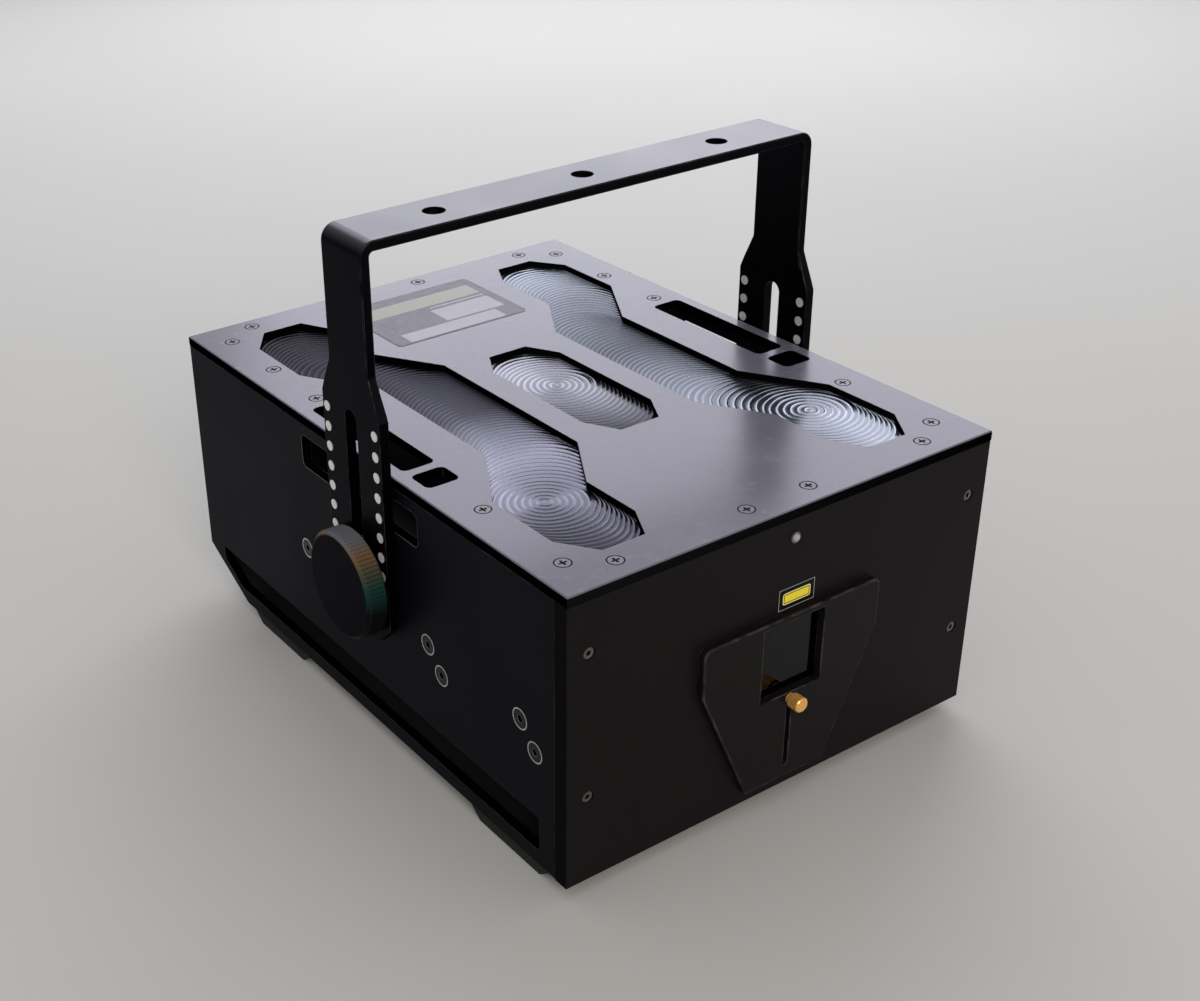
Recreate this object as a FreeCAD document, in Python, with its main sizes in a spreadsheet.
import FreeCAD, Part
import os
import re
from collections import namedtuple

import Sketcher

# A laser show projector: a milled metal box with its optics inside, hung in a U-shaped yoke.
# Frame: +X to the right as seen from the front, the front faces -Y, +Z up, and the origin lies on
# the floor under the middle of the box. Lengths are in millimetres.

SIZES = {
    # Housing
    "body_width": 300,
    "body_depth": 408,
    "body_height": 180.5,
    "foot_height": 9,
    "cover_thickness": 6,
    "front_thickness": 10,
    "side_thickness": 6,
    "rear_thickness": 4,
    "base_thickness": 4,
    "edge_break": 0.6,
    "overrun": 1,
    "pocket_depth": 4.5,
    # Hand holes
    "hand_bridge": 6.5,
    "hand_reach": 23.5,
    "hand_lip": 2,
    "hand_corner": 4,
    "cup_wall": 2,
    # Side panels
    "flange_height": 12,
    "flange_width": 18,
    "post_width": 14,
    "post_depth": 12,
    "flange_gap": 3.5,
    "vent_corner": 3,
    # Fasteners
    "cover_screw_radius": 2.5,
    "cover_head_radius": 4.5,
    "tip_gap": 4,
    "cross_width": 1.2,
    "cross_span": 5,
    "cross_depth": 1.4,
    "front_screw_setback": 14.5,
    "rear_screw_setback": 11,
    "side_screw_radius": 3,
    "side_head_radius": 6,
    "side_socket_radius": 2.3,
    "side_socket_depth": 1.8,
    "side_pair_rise": 14,
    "side_pair_run": 13,
    "cap_screw_radius": 2,
    "cap_head_radius": 3.3,
    "cap_head_height": 4,
    "cap_bore_radius": 3.7,
    "cap_bore_depth": 4.6,
    "cap_socket_radius": 1.7,
    "cap_socket_depth": 2,
    # Feet
    "foot_width": 24,
    "foot_edge": 2,
    # Window and mask on the front
    "window_thickness": 3,
    "window_ledge": 1.5,
    "mask_thickness": 5,
    "mask_corner": 5,
    "mask_slot_play": 0.3,
    "mask_slot_gap": 2,
    "guide_depth": 2.3,
    "guide_wall": 2.2,
    "guide_pin_radius": 2,
    "guide_pin_root": 6,
    "slide_gap": 0.05,
    "thumb_shank_radius": 1.5,
    "thumb_shank_root": 8,
    "thumb_collar_radius": 3.2,
    "thumb_collar_height": 1.6,
    "thumb_neck_radius": 2.4,
    "thumb_neck_height": 1.2,
    "thumb_head_radius": 4.5,
    "thumb_head_height": 7,
    "thumb_bevel": 0.7,
    "thumb_flute_depth": 0.45,
    "run_gap": 0.05,
    "led_radius": 2.4,
    "led_rim_radius": 3.3,
    "led_rim_height": 0.8,
    "led_dome_height": 1.6,
    "led_root": 9,
    "marker_width": 26,
    "marker_height": 13,
    "marker_thickness": 0.5,
    "marker_gap": 1.5,
    "marker_offset": 4.5,
    # Yoke and its clamps
    "yoke_thickness": 6,
    "yoke_gap": 3,
    "yoke_bar": 40,
    "yoke_bend_inside": 3,
    "yoke_leg_corner": 14,
    "yoke_slot_width": 12.5,
    "bar_hole_radius": 6.5,
    "bar_hole_spacing": 100,
    "pin_radius": 3,
    "pin_proud": 0.5,
    "pin_column": 50,
    "leg_edge": 2,
    "pin_pitch": 12.5,
    "stud_radius": 4,
    "stud_nut_radius": 7.5,
    "stud_nut_height": 7,
    "disc_gap": 2,
    "guide_key_gap": 0.1,
    "knob_radius": 33,
    "knob_height": 15,
    "knob_hub_height": 2,
    "knob_bevel": 2,
    "knob_bore_depth": 11,
    "knob_flute_depth": 0.8,
    # Optical bench and what stands on it
    "bench_thickness": 10,
    "bench_front_gap": 2,
    "bench_rear_gap": 8,
    "bracket_thickness": 20,
    "bracket_half_length": 11.5,
    "bracket_height": 36,
    "sink_base": 6,
    "fin_thickness": 2,
    "beam_rise": 16,
    "laser_height": 34,
    "nozzle_radius": 6,
    "nozzle_length": 6,
    "mount_half": 12,
    "mount_base": 6,
    "mount_wall": 3,
    "mount_height": 30,
    "mirror_thickness": 2,
    "mirror_hole": 7,
    "shutter_offset": 22,
    "shutter_rise": 24,
    "shutter_half": 11,
    "shutter_length": 20,
    "flag_thickness": 2,
    "flag_reach": 30,
    "flag_half": 6,
    "flag_gap": 1,
    "small_shaft": 1.5,
    "scan_step": 13,
    "scan_base": 5,
    "galvo_radius": 9,
    "galvo_length": 38,
    "galvo_wall": 3,
    "galvo_clear": 13,
    "scan_mirror_half": 6,
    "scan_mirror_reach": 8,
    "scan_mirror_thickness": 1.2,
    # Electronics
    "board_thickness": 1.6,
    "board_rise": 8,
    "standoff_radius": 3,
    "standoff_inset": 5,
    "supply_height": 40,
    "terminal_depth": 14,
    "terminal_height": 12,
    "driver_bar_width": 10,
    "driver_bar_height": 22,
    "chip_half": 12,
    "chip_height": 4,
    # Rear sockets, switches and fans
    "fan_depth": 25,
    "fan_gap": 5,
    "fan_rail_gap": 1.5,
    "fan_wall": 1.5,
    "fan_hub": 14,
    "fan_hub_depth": 16,
    "fan_plate": 4,
    "fan_strut": 4,
    "blade_thickness": 1.6,
    "blade_gap": 1,
    "blade_sweep": 9,
    "blade_depth": 12,
    "fan_axle": 2,
    "guard_step": 8,
    "guard_wire": 0.9,
    "inlet_half_width": 14,
    "inlet_half_height": 10.5,
    "inlet_flange": 10,
    "inlet_rim": 3.3,
    "inlet_flange_thickness": 3,
    "inlet_depth": 18,
    "inlet_wall": 2.5,
    "inlet_floor": 4,
    "prong_half": 1,
    "prong_height": 4,
    "prong_pitch": 7,
    "prong_length": 10,
    "rocker_half_width": 8,
    "rocker_half_height": 11.5,
    "rocker_wall": 1.5,
    "rocker_flange": 3,
    "rocker_flange_thickness": 2,
    "rocker_depth": 14,
    "rocker_floor": 3,
    "rocker_gap": 0.3,
    "rocker_axis_in": 4,
    "rocker_back": 4,
    "rocker_face": 7,
    "rocker_dip": 1.4,
    "rocker_end_gap": 1.2,
    "rocker_pin_tail": 1.2,
    "key_body_radius": 9,
    "key_flange_radius": 11,
    "key_flange_thickness": 2.5,
    "key_depth": 18,
    "key_floor": 4,
    "key_barrel_radius": 6,
    "key_bow_half": 7,
    "key_bow_length": 12.3,
    "key_bow_half_thickness": 1,
    "key_eye_radius": 2.5,
    "key_eye_setback": 4,
    "ilda_spread": 11,
    "ilda_half_width": 26.5,
    "ilda_half_height": 6.2,
    "ilda_plate": 1,
    "shell_half_top": 19.5,
    "shell_half_bottom": 18,
    "shell_half_height": 4.2,
    "shell_length": 6,
    "shell_wall": 0.6,
    "ilda_depth": 10,
    "jack_out": 23.5,
    "jack_radius": 2.3,
    "jack_length": 4,
    "xlr_half_width": 13,
    "xlr_half_height": 15.5,
    "xlr_plate": 2,
    "xlr_radius": 11,
    "xlr_bore": 9.5,
    "xlr_insert": 7.8,
    "xlr_depth": 18,
    "xlr_floor": 4,
    "xlr_pin_ring": 4,
    "xlr_pin_radius": 1.2,
    "xlr_pin_depth": 6,
}

# Heights above the underside of the box, as shares of the box's height
HEIGHT_SHARES = {
    "hand_low": 0.8089,
    "hand_high": 0.9252,
    "vent_low": 0.0554,
    "vent_high": 0.1773,
    "vent_corner_rise": 0.0693,
    "post_low": 0.1994,
    "slope_rise": 0.1440,
    "cap_screw_low": 0.3047,
    "cap_screw_high": 0.7950,
    "side_pair_height": 0.4432,
    "window_height": 0.5042,
    "aperture_half_height": 0.1302,
    "mask_top": 0.6537,
    "mask_shoulder": 0.4875,
    "mask_bottom": 0.0554,
    "mask_slot_low": 0.0997,
    "mask_travel": 0.2216,
    "guide_low": 0.1108,
    "guide_high": 0.6205,
    "led_height": 0.9030,
    "pivot_height": 0.5956,
    "yoke_top": 1.7424,
    "yoke_neck_top": 1.3241,
    "yoke_neck_low": 1.1967,
    "yoke_leg_end": 0.3989,
    "yoke_slot_top": 1.1856,
    "yoke_travel": 0.4432,
    "pin_top": 1.1496,
    "bench_low": 0.2881,
    "sink_low": 0.0997,
    "socket_row": 0.3324,
}

# Distances from the middle plane and widths, as shares of the box's width
WIDTH_SHARES = {
    "pocket_outer": 0.4100,
    "pocket_inner": 0.2300,
    "pocket_outer_corner": 0.3600,
    "pocket_inner_corner": 0.2683,
    "waist_outer": 0.3133,
    "waist_inner": 0.1450,
    "centre_half_width": 0.0850,
    "centre_half_end": 0.0467,
    "end_screw_inner": 0.0733,
    "end_screw_outer": 0.3633,
    "mask_half_top": 0.2133,
    "mask_half_bottom": 0.0967,
    "aperture_half_width": 0.0743,
    "sink_half_width": 0.3333,
    "beam_out": 0.2000,
    "laser_near": 0.0667,
    "laser_length": 0.3000,
    "control_near": 0.0733,
    "control_width": 0.3333,
    "supply_near": 0.0833,
    "supply_width": 0.3333,
    "driver_near": 0.2733,
    "driver_width": 0.1133,
    "fan_half": 0.1000,
    "inlet_out": 0.2333,
    "rocker_out": 0.0833,
    "key_out": 0.0400,
    "ilda_out": 0.2333,
    "xlr_spread": 0.1267,
}

# Distances from the middle and lengths along the box, as shares of its depth
DEPTH_SHARES = {
    "pocket_end": 0.4363,
    "pocket_corner": 0.3824,
    "outer_bend_end": 0.2549,
    "outer_bend_waist": 0.1360,
    "rear_bend_end": 0.2525,
    "rear_bend_waist": 0.1507,
    "front_bend_end": 0.2819,
    "front_bend_waist": 0.1814,
    "centre_rear": 0.1336,
    "centre_front": 0.1875,
    "centre_corner": 0.0515,
    "hand_slot_rear": 0.1385,
    "hand_slot_front": 0.1115,
    "hand_front": 0.1728,
    "vent_front": 0.4412,
    "vent_rear": 0.4485,
    "vent_bend": 0.3922,
    "slope_run": 0.1225,
    "front_foot_at": 0.3652,
    "rear_foot_at": 0.2696,
    "foot_length": 0.1961,
    "foot_sole": 0.1373,
    "pivot_forward": 0.0515,
    "sink_half_length": 0.2696,
    "laser_pitch": 0.1348,
    "laser_half_width": 0.0539,
    "laser_middle": 0.0123,
    "shutter_forward": 0.2819,
    "scan_forward": 0.4044,
    "board_rear_end": 0.2206,
    "board_rear_length": 0.1838,
    "driver_front_end": 0.2328,
    "driver_length": 0.3431,
}

# Where a screw stands in its flange or post, as a share of that one's width
ROW_SHARE = 0.7
POST_SHARE = 0.55

# Sizes that follow from others, with named clearances
DERIVED = {
    "hand_slot_inner": "(body_width / 2 - side_thickness - hand_reach)",
    "hand_slot_width": "(hand_reach - hand_lip)",
    "flange_front_end": "(hand_front + cup_wall + flange_gap)",
    "flange_rear_end": "(hand_slot_rear + cup_wall + flange_gap)",
    "cover_screw_length": "(cover_thickness + flange_height - tip_gap)",
    "side_row_setback": f"(side_thickness + {ROW_SHARE} * flange_width)",
    "side_screw_length": "(side_thickness + bracket_thickness - 2 * tip_gap)",
    "cap_screw_length": "(front_thickness + post_depth - tip_gap / 2)",
    "panel_screw_out": f"(body_width / 2 - side_thickness - {POST_SHARE} * post_width)",
    "foot_out": "(body_width / 2 - foot_edge - foot_width / 2)",
    "window_half_width": "(aperture_half_width + window_ledge)",
    "window_half_height": "(aperture_half_height + window_ledge)",
    "mask_slot_width": "(2 * thumb_shank_radius + 2 * mask_slot_play)",
    "mask_slot_top": "(window_height - aperture_half_height - mask_slot_gap)",
    "guide_out": "(window_half_width + guide_wall + guide_pin_radius)",
    "marker_low": "(mask_top + marker_gap)",
    "yoke_half_width": "(body_width / 2 + yoke_gap + yoke_thickness)",
    "yoke_leg": "(pin_column + 2 * pin_radius + 2 * leg_edge)",
    "guide_disc_radius": "(pin_column / 2 - pin_radius - disc_gap)",
    "knob_hub_radius": "(pin_column / 2 - pin_radius - 2 * disc_gap)",
    "mirror_half": "(beam_rise - mount_base)",
    "fan_out": "(body_width / 2 - side_thickness - post_width - fan_gap - fan_half)",
    "fan_row": "(body_height - cover_thickness - flange_height - fan_rail_gap - fan_half)",
    "fan_bore": "(fan_half - fan_wall)",
    "blade_tip": "(fan_bore - blade_gap)",
    "blade_reach": "(sqrt(blade_tip ^ 2 - (blade_sweep + blade_thickness) ^ 2))",
    "guard_outer": "(fan_bore - fan_wall)",
}

SHARES_OF = {"body_height": HEIGHT_SHARES, "body_width": WIDTH_SHARES, "body_depth": DEPTH_SHARES}

# Places along the box's depth, as shares of it
SIDE_ROW_SHARES = (0.436, 0.299, 0.167, -0.262, -0.431)
SIDE_PAIR_SHARES = (-0.4167, -0.2022, 0.13)

# Rounded end of the lens, as shares of its radius and its rise
LED_DOME_SHARES = ((1, 0), (0.8, 0.67), (0.4, 1))
# Half width of a flute, as a share of its depth
KNOB_FLUTE_SHARE = 1.6
THUMB_FLUTE_SHARE = 1
# Places of the chips along their board, as shares of its width
CHIP_SHARES = (0.25, 0.7)

# Counts, steps and angles
PIN_ROWS = 8
GUARD_RINGS = 3
PRONG_STEPS = ((-1, -1), (0, 2), (1, -1))
XLR_PIN_ANGLES = (90, 210, 330)
MIRROR_ANGLE = 45
QUARTERS = 4
KNOB_FLUTES = 80
THUMB_FLUTES = 24
FIN_COUNT = 17
BLADE_COUNT = 7
ROCKER_REST_TILT = -8
CONE_ANGLE = 90
HEXAGON = 6

# Planes and heights that several pieces share
BOTTOM = "foot_height"
TOP = "(foot_height + body_height)"
COVER_UNDER = f"({TOP} - cover_thickness)"
FRONT = "(-body_depth / 2)"
REAR = "(body_depth / 2)"
FRONT_INNER = "(front_thickness - body_depth / 2)"
REAR_INNER = "(body_depth / 2 - rear_thickness)"
MASK_FACE = "(-body_depth / 2 - mask_thickness)"
SIDE_OUTER = "(body_width / 2)"
SIDE_INNER = "(body_width / 2 - side_thickness)"
HAND_SLOT_OUTER = "(hand_slot_inner + hand_slot_width)"
BENCH_UNDER = "(foot_height + bench_low)"
BENCH_TOP = "(foot_height + bench_low + bench_thickness)"
BEAM_HEIGHT = f"({BENCH_TOP} + beam_rise)"
SCAN_HEIGHT = f"({BEAM_HEIGHT} + scan_step)"
YOKE_INNER = "(yoke_half_width - yoke_thickness)"
PIVOT_Y = "(-pivot_forward)"
PIVOT_Z = "(foot_height + pivot_height)"
KEY_HALF = "(yoke_slot_top - pivot_height - yoke_travel)"
NEAR = 1e-4

LEFT = -1
RIGHT = 1

Vector = FreeCAD.Vector
Rotation = FreeCAD.Rotation
Circle = namedtuple("Circle", "across along radius")

# Turns that carry a piece modelled along +Z to the way it faces
FACING_UP = Rotation()
FACING_FRONT = Rotation(Vector(1, 0, 0), 90)
FACING_REAR = Rotation(Vector(1, 0, 0), -90)
FACING_SIDE = {LEFT: Rotation(Vector(0, 1, 0), -90), RIGHT: Rotation(Vector(0, 1, 0), 90)}
ALONG = {"X": Rotation(Vector(0, 1, 0), 90), "Y": Rotation(Vector(1, 0, 0), -90), "Z": Rotation()}
PLANE_ROLES = {"X": "YZ_Plane", "Y": "XZ_Plane", "Z": "XY_Plane"}

doc = FreeCAD.newDocument("laser_projector")
sheet = doc.addObject("Spreadsheet::Sheet", "sizes")
nodes = []


# Table of sizes and the expressions that read it

def fill_sheet():
    shares = {f"{name}_share": share for table in SHARES_OF.values() for name, share in table.items()}
    for row, (name, size) in enumerate({**SIZES, **shares}.items(), 1):
        sheet.set(f"A{row}", name)
        sheet.set(f"B{row}", str(size))
        sheet.setAlias(f"B{row}", name)
    doc.recompute()


def cell(match):
    """A name as a reference to its cell, as its share of the box, or as the sizes that it follows from."""
    word = match[0]
    if word in DERIVED:
        return formula(DERIVED[word])
    for whole, table in SHARES_OF.items():
        if word in table:
            return f"(sizes.{word}_share * sizes.{whole})"
    return f"sizes.{word}" if word in SIZES else word


def formula(text):
    """The text with every size's name turned into what the sheet holds for it."""
    return re.sub(r"[a-z_]+", cell, str(text))


def value(text):
    return float(sheet.evalExpression(formula(text)))


def bind(item, prop, text):
    item.setExpression(prop, formula(text))


def place(item, x="0", y="0", z="0"):
    for axis, text in zip("xyz", (x, y, z)):
        bind(item, f"Placement.Base.{axis}", text)


def above(text):
    """A height counted from the underside of the box."""
    return f"(foot_height + {text})"


def on_side(side, text):
    """A distance from the middle plane, to the left or to the right."""
    return f"({side} * ({text}))"


def add_node(item, label):
    item.Label = label
    nodes.append(item)
    return item


# Sketches and the features made from them

def new_body(name):
    return doc.addObject("PartDesign::Body", name)


def origin_feature(body, role):
    return next(item for item in body.Origin.OriginFeatures if item.Role == role)


def new_sketch(body, name, axis, level):
    """A sketch across the given axis, at the given level along it."""
    sketch = body.newObject("Sketcher::SketchObject", name)
    sketch.AttachmentSupport = (origin_feature(body, PLANE_ROLES[axis]), [""])
    sketch.MapMode = "FlatFace"
    bind(sketch, "AttachmentOffset.Base.z", f"-({level})" if axis == "Y" else level)
    return sketch


def fix_point(sketch, item, end, across, along):
    for kind, text in (("DistanceX", across), ("DistanceY", along)):
        number = sketch.addConstraint(Sketcher.Constraint(kind, -1, 1, item, end, value(text)))
        bind(sketch, f"Constraints[{number}]", text)


def draw(sketch, loops):
    """Draw closed outlines: lists of corner points, or circles."""
    for loop in loops:
        if isinstance(loop, Circle):
            centre = Vector(value(loop.across), value(loop.along), 0)
            item = sketch.addGeometry(Part.Circle(centre, Vector(0, 0, 1), value(loop.radius)), False)
            number = sketch.addConstraint(Sketcher.Constraint("Radius", item, value(loop.radius)))
            bind(sketch, f"Constraints[{number}]", loop.radius)
            fix_point(sketch, item, 3, loop.across, loop.along)
            continue
        corners = [Vector(value(across), value(along), 0) for across, along in loop]
        ends = corners[1:] + corners[:1]
        lines = [sketch.addGeometry(Part.LineSegment(a, b), False) for a, b in zip(corners, ends)]
        for number, line in enumerate(lines):
            sketch.addConstraint(Sketcher.Constraint("Coincident", lines[number - 1], 2, line, 1))
        for line, (across, along) in zip(lines, loop):
            fix_point(sketch, line, 1, across, along)


def prism(body, name, axis, start, end, loops, cut=False):
    """Pad or pocket the outlines from one level to another along an axis."""
    sketch = new_sketch(body, f"{name}_outline", axis, start)
    draw(sketch, loops)
    feature = body.newObject("PartDesign::Pocket" if cut else "PartDesign::Pad", name)
    feature.Profile = sketch
    bind(feature, "Length", f"abs(({end}) - ({start}))")
    with_normal = (value(end) > value(start)) != (axis == "Y")
    feature.Reversed = with_normal if cut else not with_normal
    return feature


def revolve(body, name, points):
    """Turn a half profile of (radius, height) points about the body's Z axis."""
    sketch = new_sketch(body, f"{name}_profile", "Y", "0")
    draw(sketch, [points])
    feature = body.newObject("PartDesign::Revolution", name)
    feature.Profile = sketch
    feature.ReferenceAxis = (origin_feature(body, "Z_Axis"), [""])
    return feature


def ring_of(body, name, feature, count):
    """Repeat a feature evenly round the body's Z axis."""
    pattern = body.newObject("PartDesign::PolarPattern", name)
    pattern.Originals = [feature]
    pattern.Axis = (origin_feature(body, "Z_Axis"), [""])
    pattern.Occurrences = count
    body.Tip = pattern


def drill(body, name, axis, level, points, radius, head, outward, depth=None):
    """Screw holes: countersunk, or counterbored where a head depth is given."""
    sketch = new_sketch(body, f"{name}_centres", axis, level)
    draw(sketch, [Circle(across, along, radius) for across, along in points])
    doc.recompute()
    hole = body.newObject("PartDesign::Hole", name)
    hole.Profile = sketch
    doc.recompute()
    hole.ThreadType = "None"
    hole.DepthType = "ThroughAll"
    bind(hole, "Diameter", f"2 * {radius}")
    hole.HoleCutType = "Counterbore" if depth else "Countersink"
    hole.HoleCutCustomValues = True
    bind(hole, "HoleCutDiameter", f"2 * {head}")
    if depth:
        bind(hole, "HoleCutDepth", depth)
    else:
        hole.HoleCutCountersinkAngle = CONE_ANGLE
    hole.Reversed = outward < 0 if axis != "Y" else outward > 0


def dress(body, kind, name, size, chosen):
    """Round or bevel the edges for which chosen(edge) holds."""
    doc.recompute()
    base = body.Tip
    picks = [f"Edge{number}" for number, edge in enumerate(base.Shape.Edges, 1) if chosen(edge)]
    feature = body.newObject(f"PartDesign::{kind}", name)
    feature.Base = (base, picks)
    bind(feature, "Radius" if kind == "Fillet" else "Size", size)


def runs_along(axis, spots):
    """A chooser for the straight edges along an axis that pass through the given spots."""
    others = [number for number in range(3) if "XYZ"[number] != axis]
    wanted = [[value(text) for text in spot] for spot in spots]

    def chosen(edge):
        if not isinstance(edge.Curve, Part.Line):
            return False
        ends = [vertex.Point for vertex in edge.Vertexes]
        return any(all(abs(end[number] - spot[k]) < NEAR for end in ends for k, number in enumerate(others))
                   for spot in wanted)
    return chosen


def lies_at(axis, level, half_width=None, half_depth=None):
    """A chooser for the edges in a plane; with half sizes, only those on that rectangle's rim."""
    number = "XYZ".index(axis)
    height = value(level)

    def chosen(edge):
        ends = [vertex.Point for vertex in edge.Vertexes]
        if any(abs(end[number] - height) > NEAR for end in ends):
            return False
        if half_width is None:
            return True
        others = [k for k in range(3) if k != number]
        rim = zip(others, (value(half_width), value(half_depth)))
        return any(all(abs(abs(end[k]) - half) < NEAR for end in ends) for k, half in rim)
    return chosen


# Plain solids and groups of copies

def box(name, x, y, z):
    """A block between two levels along each axis."""
    item = doc.addObject("Part::Box", name)
    for prop, (low, high) in zip(("Length", "Width", "Height"), (x, y, z)):
        bind(item, prop, f"({high}) - ({low})")
    place(item, x[0], y[0], z[0])
    return item


def rod(name, axis, radius, start, length):
    """A round bar along an axis from a start point."""
    item = doc.addObject("Part::Cylinder", name)
    item.Placement = FreeCAD.Placement(Vector(), ALONG[axis])
    bind(item, "Radius", radius)
    bind(item, "Height", length)
    place(item, *start)
    return item


def fuse(name, items):
    joined = doc.addObject("Part::MultiFuse", name)
    joined.Shapes = items
    return joined


def cut(name, base, tools):
    result = doc.addObject("Part::Cut", name)
    result.Base = base
    result.Tool = tools[0] if len(tools) == 1 else fuse(f"{name}_tools", tools)
    return result


def copies(label, template, placings):
    """A node of separate copies of one template, each (x, y, z, turn)."""
    links = [carried(f"{label}_{number}", template, spot, turn)
             for number, (*spot, turn) in enumerate(placings, 1)]
    return group(label, links)


def carried(name, item, spot, turn):
    """A copy of a piece modelled about the origin, turned and carried to a spot."""
    link = doc.addObject("App::Link", name)
    link.LinkedObject = item
    link.LinkTransform = True
    link.Placement = FreeCAD.Placement(Vector(), turn)
    place(link, *spot)
    return link


def group(label, items):
    compound = doc.addObject("Part::Compound", label)
    compound.Links = items
    return add_node(compound, label)


def rectangle(low_across, high_across, low_along, high_along):
    return [(low_across, low_along), (high_across, low_along),
            (high_across, high_along), (low_across, high_along)]


# Where the fasteners sit

FRONT_SCREWS = f"({FRONT} + front_screw_setback)"
REAR_SCREWS = f"({REAR} - rear_screw_setback)"


def end_screw_spots(along):
    """The cover's screws along its front or its rear edge."""
    return [(on_side(side, out), along)
            for side in (LEFT, RIGHT) for out in ("end_screw_inner", "end_screw_outer")]


def row_screw_spots(side):
    """The cover's screws along one long side."""
    return [(on_side(side, "body_width / 2 - side_row_setback"), f"({share} * body_depth)")
            for share in SIDE_ROW_SHARES]


def cover_screw_spots():
    return (end_screw_spots(FRONT_SCREWS) + end_screw_spots(REAR_SCREWS)
            + row_screw_spots(LEFT) + row_screw_spots(RIGHT))


def side_pair_spots():
    spots = []
    for share in SIDE_PAIR_SHARES:
        for way in (LEFT, RIGHT):
            along = f"({share} * body_depth + {way} * side_pair_run / 2)"
            spots.append((along, above(f"side_pair_height + {way} * side_pair_rise / 2")))
    return spots


def panel_screw_spots(sides=(LEFT, RIGHT)):
    """The screws that hold the front and the rear panel to the posts."""
    return [(on_side(side, "panel_screw_out"), above(height)) for side in sides
            for height in ("cap_screw_low", "cap_screw_high")]


# Housing

def side_pocket_outline(side):
    """One bent pocket of the cover: wide at both ends and drawn in at its waist."""
    points = [
        ("pocket_outer_corner", "pocket_end"),
        ("pocket_outer", "pocket_corner"),
        ("pocket_outer", "outer_bend_end"),
        ("waist_outer", "outer_bend_waist"),
        ("waist_outer", "-outer_bend_waist"),
        ("pocket_outer", "-outer_bend_end"),
        ("pocket_outer", "-pocket_corner"),
        ("pocket_outer_corner", "-pocket_end"),
        ("pocket_inner_corner", "-pocket_end"),
        ("pocket_inner", "-pocket_corner"),
        ("pocket_inner", "-front_bend_end"),
        ("waist_inner", "-front_bend_waist"),
        ("waist_inner", "rear_bend_waist"),
        ("pocket_inner", "rear_bend_end"),
        ("pocket_inner", "pocket_corner"),
        ("pocket_inner_corner", "pocket_end"),
    ]
    return [(on_side(side, across), along) for across, along in points]


def centre_pocket_outline():
    points = [
        ("centre_half_end", "centre_rear"),
        ("centre_half_width", "centre_rear - centre_corner"),
        ("centre_half_width", "centre_corner - centre_front"),
        ("centre_half_end", "-centre_front"),
    ]
    return points + [(f"-({across})", along) for across, along in reversed(points)]


def hand_slot_spans():
    """The long slot and the short one, as front and rear ends."""
    return [("-hand_slot_front", "hand_slot_rear"), ("-hand_front", "-hand_slot_front - hand_bridge")]


def make_top_cover():
    body = new_body("cover")
    outline = rectangle(f"-{SIDE_OUTER}", SIDE_OUTER, FRONT, REAR)
    prism(body, "cover_slab", "Z", COVER_UNDER, TOP, [outline])
    dress(body, "Chamfer", "cover_rim", "edge_break", lies_at("Z", TOP, SIDE_OUTER, REAR))
    pockets = [side_pocket_outline(LEFT), side_pocket_outline(RIGHT), centre_pocket_outline()]
    prism(body, "cover_pockets", "Z", TOP, f"{TOP} - pocket_depth", pockets, cut=True)
    slots = [rectangle(on_side(side, "hand_slot_inner"), on_side(side, HAND_SLOT_OUTER), front, rear)
             for side in (LEFT, RIGHT) for front, rear in hand_slot_spans()]
    prism(body, "cover_hand_slots", "Z", TOP, f"{COVER_UNDER} - overrun", slots, cut=True)
    corners = [corner for slot in slots for corner in slot]
    dress(body, "Fillet", "cover_slot_corners", "hand_corner", runs_along("Z", corners))
    drill(body, "cover_holes", "Z", TOP, cover_screw_spots(),
          "cover_screw_radius", "cover_head_radius", RIGHT)
    add_node(body, "top_cover")


def make_front_panel():
    body = new_body("front")
    outline = rectangle(f"-{SIDE_OUTER}", SIDE_OUTER, BOTTOM, COVER_UNDER)
    prism(body, "front_slab", "Y", FRONT_INNER, FRONT, [outline])
    dress(body, "Chamfer", "front_rim", "edge_break", lies_at("Y", FRONT))
    middle = above("window_height")
    seat = rectangle("-window_half_width", "window_half_width",
                     f"{middle} - window_half_height", f"{middle} + window_half_height")
    prism(body, "front_window_seat", "Y", FRONT, f"{FRONT} + window_thickness", [seat], cut=True)
    opening = rectangle("-aperture_half_width", "aperture_half_width",
                        f"{middle} - aperture_half_height", f"{middle} + aperture_half_height")
    prism(body, "front_opening", "Y", FRONT, f"{FRONT_INNER} + overrun", [opening], cut=True)
    marker = rectangle("marker_offset - marker_width / 2", "marker_offset + marker_width / 2",
                       above("marker_low"), above("marker_low + marker_height"))
    prism(body, "front_marker_seat", "Y", FRONT, f"{FRONT} + marker_thickness", [marker], cut=True)
    pins = [Circle(across, along, "guide_pin_radius") for across, along in guide_pin_spots()]
    prism(body, "front_pin_holes", "Y", FRONT, f"{FRONT} + guide_pin_root", pins, cut=True)
    thumb = Circle("0", thumb_height(), "thumb_shank_radius + run_gap")
    prism(body, "front_thumb_hole", "Y", FRONT, f"{FRONT} + thumb_shank_root + run_gap", [thumb], cut=True)
    lens = Circle("0", above("led_height"), "led_radius")
    prism(body, "front_led_hole", "Y", FRONT, f"{FRONT_INNER} + overrun", [lens], cut=True)
    drill(body, "front_holes", "Y", FRONT, panel_screw_spots(),
          "cap_screw_radius", "cap_bore_radius", LEFT, "cap_bore_depth")
    add_node(body, "front_panel")


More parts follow.
